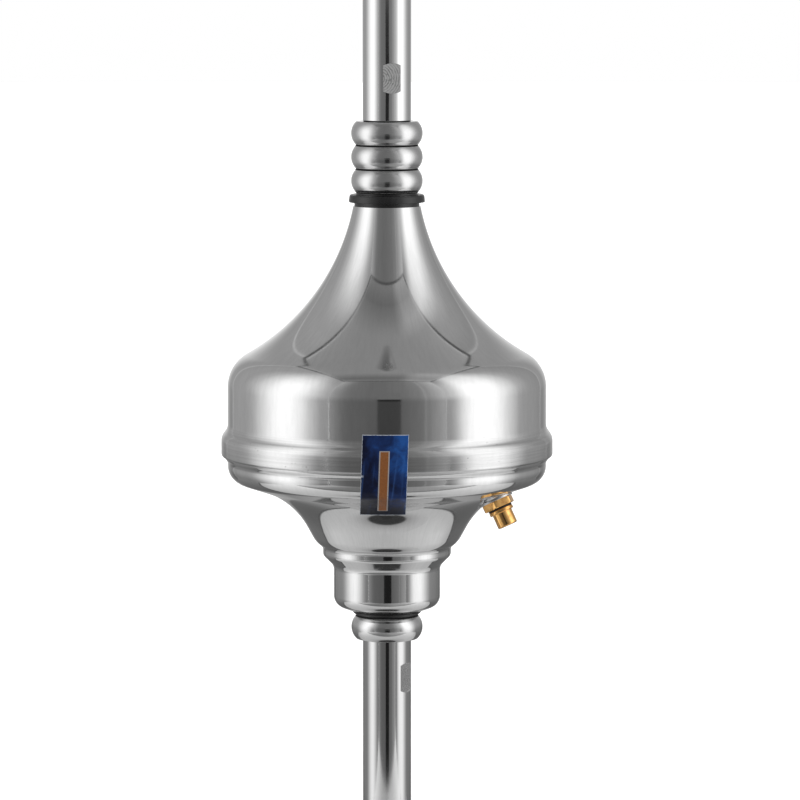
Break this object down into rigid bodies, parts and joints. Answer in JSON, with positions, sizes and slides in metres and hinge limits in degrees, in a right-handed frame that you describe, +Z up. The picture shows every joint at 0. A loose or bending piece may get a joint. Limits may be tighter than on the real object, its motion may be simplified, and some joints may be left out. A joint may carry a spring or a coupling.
{
  "type": "lightning rod",
  "caption": "Active lightning air terminal: a pointed steel rod through a polished bell-shaped head, with black insulators, bead rings, a brass test port and a plain mast rod below.",
  "frame": {"origin": "centre of the mast rod's lower end", "axes": "+Z up along the rod toward the point, front of the head (label side) toward -Y"},
  "size_m": [0.137, 0.1373, 0.6147],
  "materials": {
    "polished_steel": "mirror-polished stainless steel",
    "satin_steel": "turned satin stainless steel",
    "insulator_black": "turned black plastic, low sheen",
    "seal_rubber": "black rubber",
    "brass": "turned brass",
    "fibre": "brown fibre sheet",
    "potting": "moulded case filled with dark resin",
    "lead_green": "green sleeved wire",
    "lead_red": "red sleeved wire",
    "label_film": "blue printed film with pale bands"
  },
  "bodies": {
    "root": {"tip_rod": "polished_steel", "bead_ring_upper": "satin_steel", "bead_ring_middle": "satin_steel", "bead_ring_lower": "satin_steel", "upper_insulator": "insulator_black", "upper_shell": "polished_steel", "seam_seal": "seal_rubber", "lower_shell": "polished_steel", "lower_insulator": "insulator_black", "mast_collar": "satin_steel", "mast_rod": "polished_steel", "coupling_bar": "satin_steel", "module_pad": "fibre", "trigger_module": "potting", "module_washer": "satin_steel", "earth_tag": "brass", "module_nut": "satin_steel", "earth_lead": "lead_green", "body_lead": "lead_red", "port_bush": "brass", "port_washer": "satin_steel", "port_seal": "seal_rubber", "port_plug": "brass", "port_tag": "brass", "port_lock_nut": "brass", "seam_label": "label_film"}
  },
  "joints": []
}
